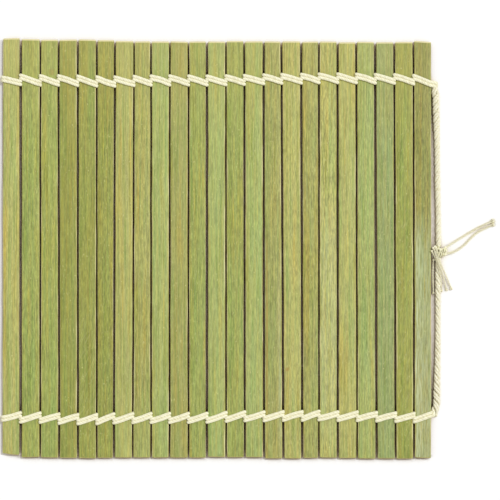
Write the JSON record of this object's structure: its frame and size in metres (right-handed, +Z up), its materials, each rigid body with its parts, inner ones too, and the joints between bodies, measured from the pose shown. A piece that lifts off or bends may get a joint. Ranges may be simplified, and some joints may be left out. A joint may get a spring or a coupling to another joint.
{
  "type": "sushi rolling mat",
  "caption": "Bamboo sushi rolling mat of flat slats twined with cotton, its edge cords knotted at one side.",
  "frame": {"origin": "on the table, under the middle of the flat mat, its edge cords and knot left out", "axes": "+X across the slats towards the knotted edge, +Y along the slats, +Z up from the table"},
  "size_m": [0.2845, 0.242, 0.0064],
  "materials": {
    "bamboo": "satin, green skin",
    "cotton_twine": "matt, plied"
  },
  "bodies": {
    "strip_01": {"slat_01": "bamboo", "stitches_01": "cotton_twine"},
    "strip_02": {"slat_02": "bamboo", "stitches_02": "cotton_twine"},
    "strip_03": {"slat_03": "bamboo", "stitches_03": "cotton_twine"},
    "strip_04": {"slat_04": "bamboo", "stitches_04": "cotton_twine"},
    "strip_05": {"slat_05": "bamboo", "stitches_05": "cotton_twine"},
    "strip_06": {"slat_06": "bamboo", "stitches_06": "cotton_twine"},
    "strip_07": {"slat_07": "bamboo", "stitches_07": "cotton_twine"},
    "strip_08": {"slat_08": "bamboo", "stitches_08": "cotton_twine"},
    "strip_09": {"slat_09": "bamboo", "stitches_09": "cotton_twine"},
    "strip_10": {"slat_10": "bamboo", "stitches_10": "cotton_twine"},
    "strip_11": {"slat_11": "bamboo", "stitches_11": "cotton_twine"},
    "strip_12": {"slat_12": "bamboo", "stitches_12": "cotton_twine"},
    "strip_13": {"slat_13": "bamboo", "stitches_13": "cotton_twine"},
    "strip_14": {"slat_14": "bamboo", "stitches_14": "cotton_twine"},
    "strip_15": {"slat_15": "bamboo", "stitches_15": "cotton_twine"},
    "strip_16": {"slat_16": "bamboo", "stitches_16": "cotton_twine"},
    "strip_17": {"slat_17": "bamboo", "stitches_17": "cotton_twine"},
    "strip_18": {"slat_18": "bamboo", "stitches_18": "cotton_twine"},
    "strip_19": {"slat_19": "bamboo", "stitches_19": "cotton_twine"},
    "strip_20": {"slat_20": "bamboo", "stitches_20": "cotton_twine"},
    "strip_21": {"slat_21": "bamboo", "stitches_21": "cotton_twine"},
    "strip_22": {"slat_22": "bamboo", "stitches_22": "cotton_twine"},
    "strip_23": {"slat_23": "bamboo", "stitches_23": "cotton_twine", "edge_cord_upper": "cotton_twine", "edge_cord_lower": "cotton_twine", "knot": "cotton_twine", "long_tail_upper": "cotton_twine", "long_tail_lower": "cotton_twine", "short_tail": "cotton_twine", "frayed_tail": "cotton_twine"}
  },
  "joints": [
    {"name": "fold_01_02", "type": "hinge", "parent": "strip_02", "child": "strip_01", "pos_m": [-0.11288, 0, 0.00256], "axis": [0, 1, 0], "range_deg": [-36.5, 36.5]},
    {"name": "fold_02_03", "type": "hinge", "parent": "strip_03", "child": "strip_02", "pos_m": [-0.10212, 0, 0.00256], "axis": [0, 1, 0], "range_deg": [-35, 35]},
    {"name": "fold_03_04", "type": "hinge", "parent": "strip_04", "child": "strip_03", "pos_m": [-0.09137, 0, 0.00256], "axis": [0, 1, 0], "range_deg": [-33.5, 33.5]},
    {"name": "fold_04_05", "type": "hinge", "parent": "strip_05", "child": "strip_04", "pos_m": [-0.08063, 0, 0.00256], "axis": [0, 1, 0], "range_deg": [-32.5, 32.5]},
    {"name": "fold_05_06", "type": "hinge", "parent": "strip_06", "child": "strip_05", "pos_m": [-0.06988, 0, 0.00256], "axis": [0, 1, 0], "range_deg": [-31.5, 31.5]},
    {"name": "fold_06_07", "type": "hinge", "parent": "strip_07", "child": "strip_06", "pos_m": [-0.05912, 0, 0.00256], "axis": [0, 1, 0], "range_deg": [-30.5, 30.5]},
    {"name": "fold_07_08", "type": "hinge", "parent": "strip_08", "child": "strip_07", "pos_m": [-0.04838, 0, 0.00256], "axis": [0, 1, 0], "range_deg": [-29.5, 29.5]},
    {"name": "fold_08_09", "type": "hinge", "parent": "strip_09", "child": "strip_08", "pos_m": [-0.03762, 0, 0.00256], "axis": [0, 1, 0], "range_deg": [-28.5, 28.5]},
    {"name": "fold_09_10", "type": "hinge", "parent": "strip_10", "child": "strip_09", "pos_m": [-0.02687, 0, 0.00256], "axis": [0, 1, 0], "range_deg": [-28, 28]},
    {"name": "fold_10_11", "type": "hinge", "parent": "strip_11", "child": "strip_10", "pos_m": [-0.01613, 0, 0.00256], "axis": [0, 1, 0], "range_deg": [-27, 27]},
    {"name": "fold_11_12", "type": "hinge", "parent": "strip_12", "child": "strip_11", "pos_m": [-0.00537, 0, 0.00256], "axis": [0, 1, 0], "range_deg": [-26.5, 26.5]},
    {"name": "fold_12_13", "type": "hinge", "parent": "strip_13", "child": "strip_12", "pos_m": [0.00537, 0, 0.00256], "axis": [0, 1, 0], "range_deg": [-26, 26]},
    {"name": "fold_13_14", "type": "hinge", "parent": "strip_14", "child": "strip_13", "pos_m": [0.01613, 0, 0.00256], "axis": [0, 1, 0], "range_deg": [-25.5, 25.5]},
    {"name": "fold_14_15", "type": "hinge", "parent": "strip_15", "child": "strip_14", "pos_m": [0.02687, 0, 0.00256], "axis": [0, 1, 0], "range_deg": [-25, 25]},
    {"name": "fold_15_16", "type": "hinge", "parent": "strip_16", "child": "strip_15", "pos_m": [0.03762, 0, 0.00256], "axis": [0, 1, 0], "range_deg": [-24.5, 24.5]},
    {"name": "fold_16_17", "type": "hinge", "parent": "strip_16", "child": "strip_17", "pos_m": [0.04838, 0, 0.00256], "axis": [0, -1, 0], "range_deg": [-24, 24]},
    {"name": "fold_17_18", "type": "hinge", "parent": "strip_17", "child": "strip_18", "pos_m": [0.05912, 0, 0.00256], "axis": [0, -1, 0], "range_deg": [-23.5, 23.5]},
    {"name": "fold_18_19", "type": "hinge", "parent": "strip_18", "child": "strip_19", "pos_m": [0.06988, 0, 0.00256], "axis": [0, -1, 0], "range_deg": [-23, 23]},
    {"name": "fold_19_20", "type": "hinge", "parent": "strip_19", "child": "strip_20", "pos_m": [0.08063, 0, 0.00256], "axis": [0, -1, 0], "range_deg": [-22.5, 22.5]},
    {"name": "fold_20_21", "type": "hinge", "parent": "strip_20", "child": "strip_21", "pos_m": [0.09137, 0, 0.00256], "axis": [0, -1, 0], "range_deg": [-22, 22]},
    {"name": "fold_21_22", "type": "hinge", "parent": "strip_21", "child": "strip_22", "pos_m": [0.10212, 0, 0.00256], "axis": [0, -1, 0], "range_deg": [-22, 22]},
    {"name": "fold_22_23", "type": "hinge", "parent": "strip_22", "child": "strip_23", "pos_m": [0.11288, 0, 0.00256], "axis": [0, -1, 0], "range_deg": [-21.5, 21.5]}
  ]
}
